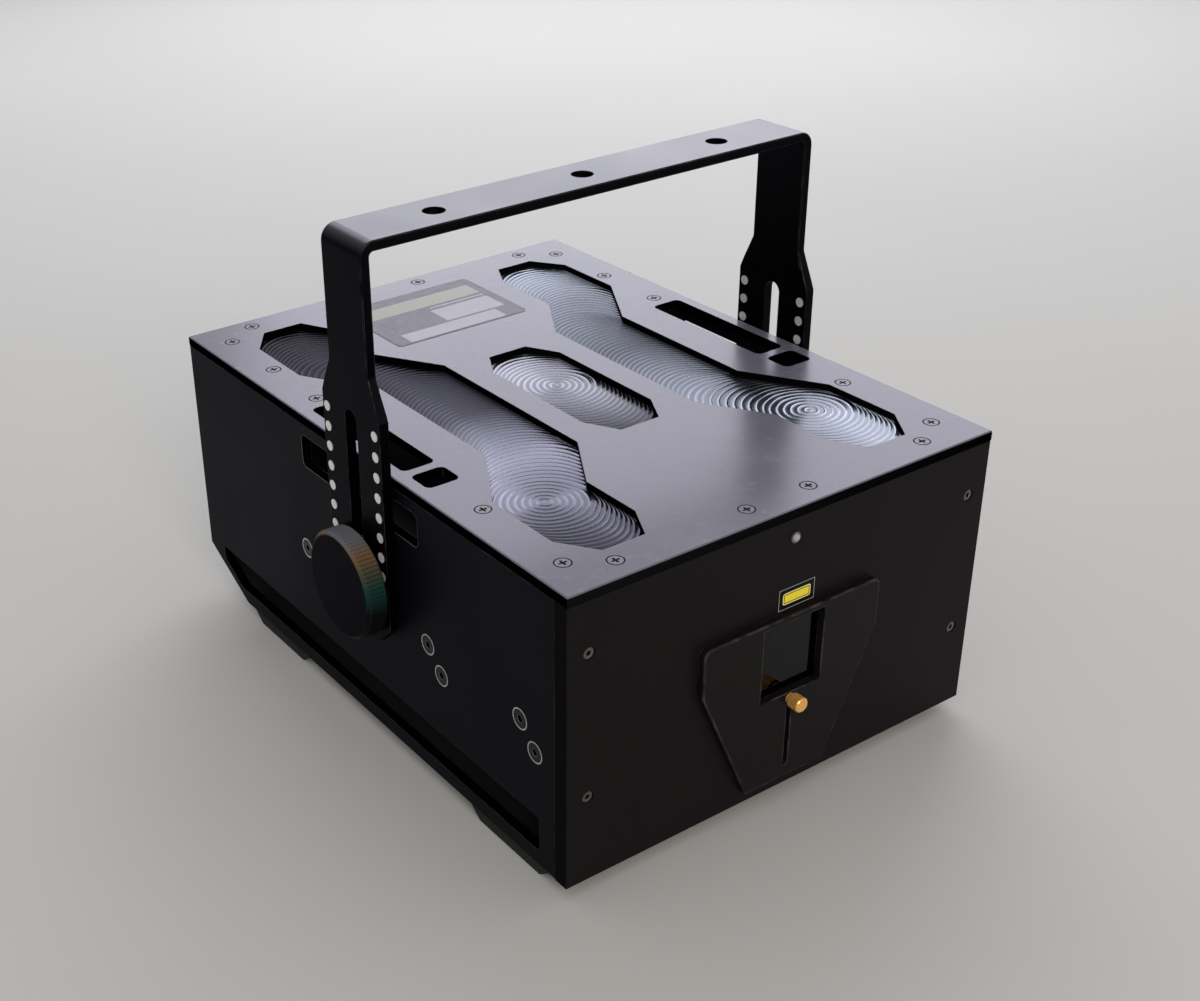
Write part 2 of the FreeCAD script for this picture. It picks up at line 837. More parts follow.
def make_rear_panel():
    body = new_body("rear")
    low = above("slope_rise + base_thickness / cos(atan(slope_rise / slope_run))")
    outline = rectangle(f"-{SIDE_INNER}", SIDE_INNER, low, COVER_UNDER)
    prism(body, "rear_slab", "Y", REAR_INNER, REAR, [outline])
    openings = [Circle(on_side(side, "fan_out"), above("fan_row"), "fan_bore") for side in (LEFT, RIGHT)]
    row = above("socket_row")
    openings.append(rectangle("-inlet_out - inlet_half_width", "inlet_half_width - inlet_out",
                              f"{row} - inlet_half_height", f"{row} + inlet_half_height"))
    half_width = "(rocker_half_width + rocker_wall)"
    half_height = "(rocker_half_height + rocker_wall)"
    openings.append(rectangle(f"-rocker_out - {half_width}", f"{half_width} - rocker_out",
                              f"{row} - {half_height}", f"{row} + {half_height}"))
    openings.append(Circle("key_out", row, "key_body_radius"))
    for way in (LEFT, RIGHT):
        middle = f"({row} + {way} * ilda_spread)"
        openings.append(rectangle("ilda_out - shell_half_top", "ilda_out + shell_half_top",
                                  f"{middle} - shell_half_height", f"{middle} + shell_half_height"))
    for step in (LEFT, 0, RIGHT):
        openings.append(Circle(f"{step} * xlr_spread", above("fan_row"), "xlr_radius"))
    prism(body, "rear_openings", "Y", REAR, f"{REAR_INNER} - overrun", openings, cut=True)
    drill(body, "rear_holes", "Y", REAR, panel_screw_spots(),
          "cover_screw_radius", "cover_head_radius", RIGHT)
    add_node(body, "rear_panel")


def make_side_panel(side, label):
    """A thick plate with flanges along its top and at both ends, which the other panels screw to."""
    body = new_body(f"{label}_body")
    outer = on_side(side, SIDE_OUTER)
    inner = on_side(side, SIDE_INNER)
    outline = [
        (FRONT_INNER, BOTTOM),
        (f"{REAR} - slope_run", BOTTOM),
        (REAR, above("slope_rise")),
        (REAR, COVER_UNDER),
        (FRONT_INNER, COVER_UNDER),
    ]
    prism(body, f"{label}_slab", "X", outer, inner, [outline])
    dress(body, "Chamfer", f"{label}_rim", "edge_break", lies_at("X", outer))
    flange_end = on_side(side, f"{SIDE_INNER} - flange_width")
    under = f"({COVER_UNDER} - flange_height)"
    flanges = [
        rectangle(FRONT_INNER, "-flange_front_end", under, COVER_UNDER),
        rectangle("flange_rear_end", REAR_INNER, under, COVER_UNDER),
    ]
    prism(body, f"{label}_flanges", "X", inner, flange_end, flanges)
    post_end = on_side(side, f"{SIDE_INNER} - post_width")
    posts = [
        rectangle(FRONT_INNER, f"{FRONT_INNER} + post_depth", above("post_low"), COVER_UNDER),
        rectangle(f"{REAR_INNER} - post_depth", REAR_INNER, above("post_low"), COVER_UNDER),
    ]
    prism(body, f"{label}_posts", "X", inner, post_end, posts)
    hand = rectangle("-hand_front", "hand_slot_rear", above("hand_low"), above("hand_high"))
    vent = [
        ("vent_rear", above("vent_high")),
        ("vent_rear", above("vent_low + vent_corner_rise")),
        ("vent_bend", above("vent_low")),
        ("-vent_front", above("vent_low")),
        ("-vent_front", above("vent_high")),
    ]
    stud = Circle(PIVOT_Y, PIVOT_Z, "stud_radius")
    through = on_side(side, f"{SIDE_INNER} - overrun")
    prism(body, f"{label}_openings", "X", outer, through, [hand, vent, stud], cut=True)
    dress(body, "Fillet", f"{label}_hand_corners", "hand_corner", runs_along("X", hand))
    dress(body, "Fillet", f"{label}_vent_corners", "vent_corner", runs_along("X", vent))
    taps = [Circle(across, along, "cover_screw_radius") for across, along in row_screw_spots(side)]
    prism(body, f"{label}_cover_taps", "Z", COVER_UNDER, f"{TOP} - cover_screw_length", taps, cut=True)
    fronts = [Circle(across, along, "cap_screw_radius") for across, along in panel_screw_spots([side])]
    reach = f"{FRONT} + cap_bore_depth - cap_head_height + cap_screw_length"
    prism(body, f"{label}_front_taps", "Y", FRONT_INNER, reach, fronts, cut=True)
    rears = [Circle(across, along, "cover_screw_radius") for across, along in panel_screw_spots([side])]
    prism(body, f"{label}_rear_taps", "Y", REAR_INNER, f"{REAR} - cover_screw_length", rears, cut=True)
    drill(body, f"{label}_holes", "X", outer, side_pair_spots(),
          "side_screw_radius", "side_head_radius", side)
    add_node(body, label)


def make_base_tray():
    body = new_body("tray")
    slope = "atan(slope_rise / slope_run)"
    outline = [
        (FRONT_INNER, BOTTOM),
        (f"{REAR} - slope_run", BOTTOM),
        (REAR, above("slope_rise")),
        (REAR, above(f"slope_rise + base_thickness / cos({slope})")),
        (f"{REAR} - slope_run - base_thickness * tan({slope} / 2)", above("base_thickness")),
        (FRONT_INNER, above("base_thickness")),
    ]
    prism(body, "tray_plate", "X", f"-{SIDE_INNER}", SIDE_INNER, [outline])
    add_node(body, "base_tray")


def make_hand_cup(side, label):
    """A thin cup behind a hand hole, open to the side and to the slots in the cover."""
    body = new_body(f"{label}_body")
    inner = on_side(side, "hand_slot_inner")
    back = on_side(side, "hand_slot_inner - cup_wall")
    face = on_side(side, SIDE_INNER)
    floor = above("hand_low")
    outline = rectangle(back, face, "-hand_front - cup_wall", "hand_slot_rear + cup_wall")
    prism(body, f"{label}_block", "Z", f"{floor} - cup_wall", COVER_UNDER, [outline])
    hollow = rectangle(inner, on_side(side, f"{SIDE_INNER} + overrun"), "-hand_front", "hand_slot_rear")
    prism(body, f"{label}_hollow", "Z", f"{COVER_UNDER} + overrun", floor, [hollow], cut=True)
    add_node(body, label)


def make_cross_rail(label, front, rear, row):
    """A bar that the end of the cover screws to."""
    blank = box(f"{label}_bar", (f"flange_width - {SIDE_INNER}", f"{SIDE_INNER} - flange_width"),
                (front, rear), (f"{COVER_UNDER} - flange_height", COVER_UNDER))
    tip = f"{TOP} - cover_screw_length"
    taps = [rod(f"{label}_tap_{number}", "Z", "cover_screw_radius", (across, along, tip),
                "cover_screw_length + overrun")
            for number, (across, along) in enumerate(end_screw_spots(row), 1)]
    add_node(cut(f"{label}_drilled", blank, taps), label)


def make_rubber_feet():
    body = new_body("foot")
    outline = [("-foot_sole / 2", "0"), ("foot_sole / 2", "0"),
               ("foot_length / 2", "foot_height"), ("-foot_length / 2", "foot_height")]
    prism(body, "foot_pad", "X", "-foot_width / 2", "foot_width / 2", [outline])
    placings = [(on_side(side, "foot_out"), along, "0", FACING_UP)
                for side in (LEFT, RIGHT) for along in ("-front_foot_at", "rear_foot_at")]
    copies("rubber_feet", body, placings)


# Fasteners

def hexagon(radius):
    angles = [360 * corner / HEXAGON for corner in range(HEXAGON)]
    return [(f"{radius} * cos({angle})", f"{radius} * sin({angle})") for angle in angles]


def cross_outline():
    """A plus sign, walked corner by corner."""
    near = "cross_width / 2"
    far = "cross_span / 2"
    quarter = [(far, f"-{near}"), (far, near), (near, near)]
    points = []
    for _ in range(QUARTERS):
        points += quarter
        quarter = [(f"-({along})", across) for across, along in quarter]
    return points


def make_countersunk_screw():
    body = new_body("cover_screw")
    cone = "(cover_screw_radius - cover_head_radius)"
    revolve(body, "cover_screw_turned", [
        ("0", "0"), ("cover_head_radius", "0"), ("cover_screw_radius", cone),
        ("cover_screw_radius", "-cover_screw_length"), ("0", "-cover_screw_length")])
    prism(body, "cover_screw_cross", "Z", "0", "-cross_depth", [cross_outline()], cut=True)
    return body


def make_side_screw():
    body = new_body("side_screw")
    cone = "(side_screw_radius - side_head_radius)"
    revolve(body, "side_screw_turned", [
        ("0", "0"), ("side_head_radius", "0"), ("side_screw_radius", cone),
        ("side_screw_radius", "-side_screw_length"), ("0", "-side_screw_length")])
    socket = hexagon("side_socket_radius")
    prism(body, "side_screw_socket", "Z", "0", "-side_socket_depth", [socket], cut=True)
    return body


def make_cap_screw():
    body = new_body("cap_screw")
    revolve(body, "cap_screw_turned", [
        ("0", "0"), ("cap_head_radius", "0"), ("cap_head_radius", "-cap_head_height"),
        ("cap_screw_radius", "-cap_head_height"), ("cap_screw_radius", "-cap_screw_length"),
        ("0", "-cap_screw_length")])
    socket = hexagon("cap_socket_radius")
    prism(body, "cap_screw_socket", "Z", "0", "-cap_socket_depth", [socket], cut=True)
    return body


def make_fasteners():
    countersunk = make_countersunk_screw()
    copies("cover_screws", countersunk, [(across, along, TOP, FACING_UP)
                                         for across, along in cover_screw_spots()])
    copies("rear_screws", countersunk, [(across, REAR, along, FACING_REAR)
                                        for across, along in panel_screw_spots()])
    placings = [(on_side(side, SIDE_OUTER), along, height, FACING_SIDE[side])
                for side in (LEFT, RIGHT) for along, height in side_pair_spots()]
    copies("side_screws", make_side_screw(), placings)
    head_face = f"{FRONT} + cap_bore_depth - cap_head_height"
    copies("front_screws", make_cap_screw(), [(across, head_face, along, FACING_FRONT)
                                              for across, along in panel_screw_spots()])


# Window, mask, lens and marker on the front

def thumb_height():
    """The thumb screw stands at the top end of the mask's slot."""
    return above("mask_slot_top - mask_slot_width / 2")


def guide_pin_spots():
    """Two pins in each groove, at the places that stay in the groove over the whole travel."""
    low = "guide_low + mask_travel + 2 * guide_pin_radius"
    high = "guide_high - 2 * guide_pin_radius"
    return [(on_side(side, "guide_out"), above(height)) for side in (LEFT, RIGHT) for height in (low, high)]


def make_exit_window():
    middle = above("window_height")
    pane = box("window_pane", ("-window_half_width", "window_half_width"),
               (FRONT, f"{FRONT} + window_thickness"),
               (f"{middle} - window_half_height", f"{middle} + window_half_height"))
    add_node(pane, "exit_window")


def make_mask_plate():
    """A shield-shaped plate with the beam opening, a slot for its screw and two grooves at the back."""
    body = new_body("mask")
    half = [("mask_half_top", above("mask_top")), ("mask_half_top", above("mask_shoulder")),
            ("mask_half_bottom", above("mask_bottom"))]
    outline = half + [(f"-{across}", along) for across, along in reversed(half)]
    prism(body, "mask_slab", "Y", FRONT, MASK_FACE, [outline])
    top_corners = [(on_side(side, "mask_half_top"), above("mask_top")) for side in (LEFT, RIGHT)]
    dress(body, "Fillet", "mask_corners", "mask_corner", runs_along("Y", top_corners))
    dress(body, "Chamfer", "mask_rim", "edge_break", lies_at("Y", MASK_FACE))
    middle = above("window_height")
    opening = rectangle("-aperture_half_width", "aperture_half_width",
                        f"{middle} - aperture_half_height", f"{middle} + aperture_half_height")
    slot = rectangle("-mask_slot_width / 2", "mask_slot_width / 2",
                     above("mask_slot_low"), above("mask_slot_top"))
    prism(body, "mask_opening", "Y", MASK_FACE, f"{FRONT} + overrun", [opening, slot], cut=True)
    groove = "(guide_pin_radius + slide_gap)"
    grooves = [rectangle(f"{side} * guide_out - {groove}", f"{side} * guide_out + {groove}",
                         above("guide_low"), above("guide_high")) for side in (LEFT, RIGHT)]
    prism(body, "mask_grooves", "Y", FRONT, f"{FRONT} - guide_depth", grooves, cut=True)
    add_node(body, "mask_plate")


def flute_outline(radius, depth, share):
    """A notch cut into a round rim."""
    outer = f"{radius} + {depth}"
    return [(outer, f"-{share} * {depth}"), (outer, f"{share} * {depth}"), (f"{radius} - {depth}", "0")]


def make_thumb_screw():
    body = new_body("thumb")
    neck = "thumb_collar_height + thumb_neck_height"
    end = f"{neck} + thumb_head_height"
    root = "-mask_thickness - thumb_shank_root"
    revolve(body, "thumb_turned", [
        ("0", root), ("thumb_shank_radius", root), ("thumb_shank_radius", "0"), ("thumb_collar_radius", "0"),
        ("thumb_collar_radius", "thumb_collar_height"), ("thumb_neck_radius", "thumb_collar_height"),
        ("thumb_neck_radius", neck), ("thumb_head_radius", neck),
        ("thumb_head_radius", f"{end} - thumb_bevel"), ("thumb_head_radius - thumb_bevel", end), ("0", end)])
    flute = flute_outline("thumb_head_radius", "thumb_flute_depth", THUMB_FLUTE_SHARE)
    groove = prism(body, "thumb_flute", "Z", f"{end} + overrun", neck, [flute], cut=True)
    ring_of(body, "thumb_flutes", groove, THUMB_FLUTES)
    body.Placement = FreeCAD.Placement(Vector(), FACING_FRONT)
    place(body, "0", MASK_FACE, thumb_height())
    add_node(body, "mask_thumb_screw")


def make_guide_pins():
    tip = f"({FRONT} - guide_depth + slide_gap)"
    pins = [rod(f"guide_pin_{number}", "Y", "guide_pin_radius", (across, tip, along),
                f"{FRONT} + guide_pin_root - {tip}")
            for number, (across, along) in enumerate(guide_pin_spots(), 1)]
    group("mask_guide_pins", pins)


def make_status_led():
    body = new_body("led")
    dome = [(f"{wide} * led_radius", f"led_rim_height + {high} * led_dome_height")
            for wide, high in LED_DOME_SHARES]
    revolve(body, "led_turned", [
        ("0", "-led_root"), ("led_radius", "-led_root"), ("led_radius", "0"), ("led_rim_radius", "0"),
        ("led_rim_radius", "led_rim_height"), *dome, ("0", "led_rim_height + led_dome_height")])
    body.Placement = FreeCAD.Placement(Vector(), FACING_FRONT)
    place(body, "0", FRONT, above("led_height"))
    add_node(body, "status_led")


def make_marker_plate():
    plate = box("marker_blank", ("marker_offset - marker_width / 2", "marker_offset + marker_width / 2"),
                (FRONT, f"{FRONT} + marker_thickness"),
                (above("marker_low"), above("marker_low + marker_height")))
    add_node(plate, "marker_plate")


# Yoke, its pins and its clamps

def index_pin_spots():
    return [(f"({PIVOT_Y} + {way} * pin_column / 2)", above(f"pin_top - {row} * pin_pitch"))
            for way in (LEFT, RIGHT) for row in range(PIN_ROWS)]


def make_yoke():
    """A bent flat bar whose legs widen below the bends and carry a slot and two columns of holes."""
    body = new_body("yoke_bar_body")
    top = above("yoke_top")
    neck = above("yoke_neck_top")
    arch = [
        ("-yoke_half_width", neck),
        ("-yoke_half_width", top),
        ("yoke_half_width", top),
        ("yoke_half_width", neck),
        (YOKE_INNER, neck),
        (YOKE_INNER, f"{top} - yoke_thickness"),
        (f"-{YOKE_INNER}", f"{top} - yoke_thickness"),
        (f"-{YOKE_INNER}", neck),
    ]
    prism(body, "yoke_arch", "Y", f"{PIVOT_Y} - yoke_bar / 2", f"{PIVOT_Y} + yoke_bar / 2", [arch])
    outer = [(on_side(side, "yoke_half_width"), top) for side in (LEFT, RIGHT)]
    inner = [(on_side(side, YOKE_INNER), f"{top} - yoke_thickness") for side in (LEFT, RIGHT)]
    dress(body, "Fillet", "yoke_bends_out", "yoke_bend_inside + yoke_thickness", runs_along("Y", outer))
    dress(body, "Fillet", "yoke_bends_in", "yoke_bend_inside", runs_along("Y", inner))
    end = above("yoke_leg_end")
    half = [("yoke_bar / 2", neck), ("yoke_leg / 2", above("yoke_neck_low")),
            ("yoke_leg / 2", f"{end} + yoke_leg_corner"), ("yoke_leg / 2 - yoke_leg_corner", end)]
    leg = [(f"{PIVOT_Y} + {across}", along) for across, along in half]
    leg += [(f"{PIVOT_Y} - ({across})", along) for across, along in reversed(half)]
    for side, name in ((LEFT, "left"), (RIGHT, "right")):
        faces = (on_side(side, YOKE_INNER), on_side(side, "yoke_half_width"))
        prism(body, f"yoke_{name}_leg", "X", *faces, [leg])
    flanks = [lies_at("Y", f"{PIVOT_Y} + {way} * yoke_bar / 2") for way in (LEFT, RIGHT)]
    lowest = value(neck) - NEAR
    dress(body, "Chamfer", "yoke_bar_edges", "edge_break",
          lambda edge: edge.BoundBox.ZMin > lowest and any(on_flank(edge) for on_flank in flanks))
    slot_half = "yoke_slot_width / 2"
    slot_low = above(f"pivot_height - {KEY_HALF}")
    slot_ends = [f"{slot_low} + {slot_half}", above(f"yoke_slot_top - {slot_half}")]
    slot = rectangle(f"{PIVOT_Y} - {slot_half}", f"{PIVOT_Y} + {slot_half}", *slot_ends)
    rounds = [Circle(PIVOT_Y, height, slot_half) for height in slot_ends]
    pins = [Circle(along, height, "pin_radius") for along, height in index_pin_spots()]
    across = ("yoke_half_width + overrun", "-yoke_half_width - overrun")
    prism(body, "yoke_slots", "X", *across, [slot], cut=True)
    for number, ring in enumerate(rounds, 1):
        prism(body, f"yoke_slot_end_{number}", "X", *across, [ring], cut=True)
    prism(body, "yoke_pin_holes", "X", *across, pins, cut=True)
    holes = [Circle(f"{step} * bar_hole_spacing", PIVOT_Y, "bar_hole_radius") for step in (LEFT, 0, RIGHT)]
    under = f"{top} - yoke_thickness - overrun"
    prism(body, "yoke_bar_holes", "Z", f"{top} + overrun", under, holes, cut=True)
    add_node(body, "yoke")


def make_index_pins():
    pins = []
    for side, name in ((LEFT, "left"), (RIGHT, "right")):
        start = f"{side} * (yoke_half_width - yoke_thickness / 2) - yoke_thickness / 2 - pin_proud"
        for number, (along, height) in enumerate(index_pin_spots(), 1):
            pins.append(rod(f"index_pin_{name}_{number}", "X", "pin_radius", (start, along, height),
                            "yoke_thickness + 2 * pin_proud"))
    group("index_pins", pins)


def make_pivot_studs():
    """A threaded stud with a nut inside the side panel."""
    body = new_body("stud")
    tip = f"yoke_half_width - {SIDE_OUTER} + knob_bore_depth - run_gap"
    back = f"{SIDE_INNER} - {SIDE_OUTER}"
    revolve(body, "stud_turned", [
        ("0", f"{back} - stud_nut_height"), ("stud_nut_radius", f"{back} - stud_nut_height"),
        ("stud_nut_radius", back), ("stud_radius", back), ("stud_radius", tip), ("0", tip)])
    copies("pivot_studs", body, [(on_side(side, SIDE_OUTER), PIVOT_Y, PIVOT_Z, FACING_SIDE[side])
                                 for side in (LEFT, RIGHT)])


def make_yoke_guides():
    """A disc between leg and side panel, with a long key that rides in the leg's slot."""
    body = new_body("guide")
    gap = f"{YOKE_INNER} - {SIDE_OUTER}"
    half = "(yoke_slot_width / 2 - slide_gap)"
    reach = f"({KEY_HALF} - yoke_slot_width / 2)"
    prism(body, "guide_disc", "Z", "0", gap, [Circle("0", "0", "guide_disc_radius")])
    key_top = f"{gap} + yoke_thickness - guide_key_gap"
    prism(body, "guide_key", "Z", "0", key_top, [rectangle(f"-{reach}", reach, f"-{half}", half)])
    for number, way in enumerate((LEFT, RIGHT), 1):
        prism(body, f"guide_key_end_{number}", "Z", "0", key_top, [Circle(f"{way} * {reach}", "0", half)])
    prism(body, "guide_bore", "Z", f"{key_top} + overrun", "-overrun",
          [Circle("0", "0", "stud_radius + run_gap")], cut=True)
    copies("yoke_guides", body, [(on_side(side, SIDE_OUTER), PIVOT_Y, PIVOT_Z, FACING_SIDE[side])
                                 for side in (LEFT, RIGHT)])


def make_knob(side, label):
    """A fluted clamp knob with a hub that bears on the leg between the pin columns."""
    body = new_body(f"{label}_body")
    bore = "stud_radius + run_gap"
    revolve(body, f"{label}_turned", [
        (bore, "0"), ("knob_hub_radius", "0"), ("knob_hub_radius", "knob_hub_height"),
        ("knob_radius - knob_bevel / 2", "knob_hub_height"),
        ("knob_radius", "knob_hub_height + knob_bevel / 2"),
        ("knob_radius", "knob_height - knob_bevel"), ("knob_radius - knob_bevel", "knob_height"),
        ("0", "knob_height"), ("0", "knob_bore_depth"), (bore, "knob_bore_depth")])
    flute = flute_outline("knob_radius", "knob_flute_depth", KNOB_FLUTE_SHARE)
    groove = prism(body, f"{label}_flute", "Z", "knob_height + overrun", "knob_hub_height - overrun",
                   [flute], cut=True)
    ring_of(body, f"{label}_flutes", groove, KNOB_FLUTES)
    body.Placement = FreeCAD.Placement(Vector(), FACING_SIDE[side])
    place(body, on_side(side, "yoke_half_width"), PIVOT_Y, PIVOT_Z)
    add_node(body, label)


# Optical bench and its optics

def make_optical_bench():
    front = f"{FRONT_INNER} + post_depth + bench_front_gap"
    rear = f"{REAR_INNER} - post_depth - bench_rear_gap"
    plate = box("bench_plate", (f"-{SIDE_INNER}", SIDE_INNER), (front, rear), (BENCH_UNDER, BENCH_TOP))
    add_node(plate, "optical_bench")


def make_heat_sink():
    body = new_body("sink")
    outline = rectangle("-sink_half_width", "sink_half_width", "-sink_half_length", "sink_half_length")
    prism(body, "sink_base_plate", "Z", BENCH_UNDER, f"{BENCH_UNDER} - sink_base", [outline])
    fin = rectangle("-sink_half_width", "fin_thickness - sink_half_width",
                    "-sink_half_length", "sink_half_length")
    first = prism(body, "sink_fin", "Z", f"{BENCH_UNDER} - sink_base", above("sink_low"), [fin])
    pattern = body.newObject("PartDesign::LinearPattern", "sink_fins")
    pattern.Originals = [first]
    pattern.Direction = (origin_feature(body, "X_Axis"), [""])
    bind(pattern, "Length", "2 * sink_half_width - fin_thickness")
    pattern.Occurrences = FIN_COUNT
    body.Tip = pattern
    add_node(body, "heat_sink")


def make_bench_brackets():
    brackets = []
    spots = side_pair_spots()
    for side, name in ((LEFT, "left"), (RIGHT, "right")):
        for number, share in enumerate(SIDE_PAIR_SHARES):
            label = f"bracket_{name}_{number}"
            faces = (on_side(side, SIDE_INNER), on_side(side, f"{SIDE_INNER} - bracket_thickness"))
            span = faces if side == LEFT else faces[::-1]
            middle = f"({share} * body_depth)"
            block = box(f"{label}_block", span,
                        (f"{middle} - bracket_half_length", f"{middle} + bracket_half_length"),
                        (BENCH_TOP, f"{BENCH_TOP} + bracket_height"))
            reach = "(side_screw_length - side_thickness)"
            start = span[0] if side == LEFT else f"({span[1]} - {reach})"
            taps = [rod(f"{label}_tap_{k}", "X", "side_screw_radius", (start, along, height), reach)
                    for k, (along, height) in enumerate(spots[2 * number:2 * number + 2])]
            brackets.append(cut(label, block, taps))
    group("bench_brackets", brackets)


def make_laser(label, step):
    middle = f"({step} * laser_pitch - laser_middle)"
    block = box(f"{label}_block", ("laser_near", "laser_near + laser_length"),
                (f"{middle} - laser_half_width", f"{middle} + laser_half_width"),
                (BENCH_TOP, f"{BENCH_TOP} + laser_height"))
    nozzle = rod(f"{label}_nozzle", "X", "nozzle_radius",
                 ("laser_near - nozzle_length", middle, BEAM_HEIGHT), "2 * nozzle_length")
    add_node(fuse(f"{label}_module", [block, nozzle]), label)


def make_combiner():
    """Three combining mirrors and one folding mirror, each on its own pierced mount."""
    span = ("-mount_half", "mount_half")
    wall = box("mount_wall_plate", ("-mirror_thickness / 2 - mount_wall", "-mirror_thickness / 2"),
               span, ("0", "mount_height"))
    foot = box("mount_foot", span, span, ("0", "mount_base"))
    solid = fuse("mount_solid", [wall, foot])
    hole = rod("mount_hole", "X", "mirror_hole", ("-mount_half", "0", "beam_rise"), "mount_half")
    mount = cut("mount_pierced", solid, [hole])
    mirror = box("mirror_plate", ("-mirror_thickness / 2", "mirror_thickness / 2"),
                 ("-mirror_half", "mirror_half"), ("beam_rise - mirror_half", "beam_rise + mirror_half"))
    turned = Rotation(Vector(0, 0, 1), -MIRROR_ANGLE)
    spots = [("-beam_out", f"({step} * laser_pitch - laser_middle)", turned) for step in (-1, 0, 1)]
    spots.append(("-beam_out", "-scan_forward", Rotation(Vector(0, 0, 1), MIRROR_ANGLE)))
    copies("combiner_mounts", mount, [(x, y, BENCH_TOP, turn) for x, y, turn in spots])
    copies("combiner_mirrors", mirror, [(x, y, BENCH_TOP, turn) for x, y, turn in spots])


def make_shutter():
    axis_x = "(shutter_offset - beam_out)"
    axis_z = f"({BENCH_TOP} + shutter_rise)"
    face = "(-shutter_forward)"
    block = box("shutter_block", (f"{axis_x} - shutter_half", f"{axis_x} + shutter_half"),
                (face, f"{face} + shutter_length"), (BENCH_TOP, f"{axis_z} + shutter_half"))
    bore = rod("shutter_bore", "Y", "small_shaft + run_gap", (axis_x, face, axis_z), "shutter_length / 2")
    add_node(cut("shutter_bored", block, [bore]), "shutter_motor")
    back = f"({face} - flag_gap)"
    hub = rod("flag_hub", "Y", "flag_half", (axis_x, f"{back} - flag_thickness", axis_z), "flag_thickness")
    blade = box("flag_blade", (f"{axis_x} - flag_reach", axis_x), (f"{back} - flag_thickness", back),
                (f"{axis_z} - 2 * flag_half", f"{axis_z} + flag_half"))
    shaft = rod("flag_shaft", "Y", "small_shaft", (axis_x, f"{back} - flag_thickness", axis_z),
                "flag_thickness + flag_gap + shutter_length / 2 - overrun")
    add_node(fuse("flag_joined", [hub, blade, shaft]), "shutter_flag")


def make_scanner_mount(low_start, high_start):
    """One block that holds the two galvos at right angles."""
    beam_y = low_start[1]
    low_end = f"{beam_y} + galvo_length"
    side_y = high_start[1]
    high_end = f"{high_start[0]} + galvo_length"
    wall = "(galvo_radius + galvo_wall)"
    low = box("scan_low_block", (f"-{wall}", wall), (beam_y, low_end), (BENCH_TOP, f"{BEAM_HEIGHT} + {wall}"))
    high = box("scan_high_block", (high_start[0], high_end), (f"{side_y} - {wall}", f"{side_y} + {wall}"),
               (BENCH_TOP, f"{SCAN_HEIGHT} + {wall}"))
    foot = box("scan_foot", (f"-{wall}", high_end), (f"{side_y} - {wall}", low_end),
               (BENCH_TOP, f"{BENCH_TOP} + scan_base"))
    bores = [rod("scan_low_bore", "Y", "galvo_radius", low_start, "galvo_length"),
             rod("scan_high_bore", "X", "galvo_radius", high_start, "galvo_length")]
    block = fuse("scan_block", [low, high, foot])
    add_node(cut("scan_bored", block, bores), "scanner_mount")


def make_galvo(label, axis, start):
    can = rod(f"{label}_can", axis, "galvo_radius", start, "galvo_length")
    bore = rod(f"{label}_bore", axis, "small_shaft + run_gap", start, "galvo_length / 2")
    add_node(cut(f"{label}_bored", can, [bore]), label)


def make_galvo_mirror(label, axis, start, middle, tilt):
    """A thin mirror on a shaft that runs into its galvo."""
    length = "galvo_clear + scan_mirror_reach + galvo_length / 2 - overrun"
    shaft = rod(f"{label}_shaft", axis, "small_shaft", start, length)
    along = ("-scan_mirror_reach", "scan_mirror_reach")
    across = ("-scan_mirror_half", "scan_mirror_half")
    spans = (across, along) if axis == "Y" else (along, across)
    plate = box(f"{label}_plate", *spans, ("-scan_mirror_thickness / 2", "scan_mirror_thickness / 2"))
    tilted = carried(f"{label}_tilted", plate, middle, tilt)
    add_node(fuse(f"{label}_joined", [shaft, tilted]), label)


def make_scanner():
    """The lower galvo sweeps the beam across, the upper one sweeps it up and down."""
    beam_y = "(-scan_forward)"
    low_start = ("0", f"({beam_y} + galvo_clear)", BEAM_HEIGHT)
    high_start = ("galvo_clear", beam_y, SCAN_HEIGHT)
    make_scanner_mount(low_start, high_start)
    make_galvo("x_galvo", "Y", low_start)
    make_galvo("y_galvo", "X", high_start)
    make_galvo_mirror("x_galvo_mirror", "Y", ("0", f"{beam_y} - scan_mirror_reach", BEAM_HEIGHT),
                      ("0", beam_y, BEAM_HEIGHT), Rotation(Vector(0, 1, 0), -MIRROR_ANGLE))
    make_galvo_mirror("y_galvo_mirror", "X", ("-scan_mirror_reach", beam_y, SCAN_HEIGHT),
                      ("0", beam_y, SCAN_HEIGHT), Rotation(Vector(1, 0, 0), -MIRROR_ANGLE))


# Electronics

def make_board(label, x, y, extras):
    """A circuit board on four standoffs, with the given blocks soldered on top."""
    low = f"({BENCH_TOP} + board_rise)"
    pieces = [box(f"{label}_sheet", x, y, (low, f"{low} + board_thickness"))]
    corners = [(across, along) for across in (f"{x[0]} + standoff_inset", f"{x[1]} - standoff_inset")
               for along in (f"{y[0]} + standoff_inset", f"{y[1]} - standoff_inset")]
    for number, corner in enumerate(corners):
        pieces.append(rod(f"{label}_standoff_{number}", "Z", "standoff_radius", (*corner, BENCH_TOP),
                          "board_rise + board_thickness / 2"))
    middle = f"({low} + board_thickness / 2)"
    for number, (across, along, height) in enumerate(extras):
        pieces.append(box(f"{label}_block_{number}", across, along,
                          (middle, f"{middle} + board_thickness / 2 + {height}")))
    add_node(fuse(f"{label}_joined", pieces), label)


def make_control_board(rear_span):
    along = "(board_rear_end + board_rear_length / 2)"
    chips = []
    for share in CHIP_SHARES:
        across = f"(control_near + {share} * control_width)"
        chips.append(((f"{across} - chip_half", f"{across} + chip_half"),
                      (f"{along} - chip_half", f"{along} + chip_half"), "chip_height"))
    make_board("control_board", ("control_near", "control_near + control_width"), rear_span, chips)


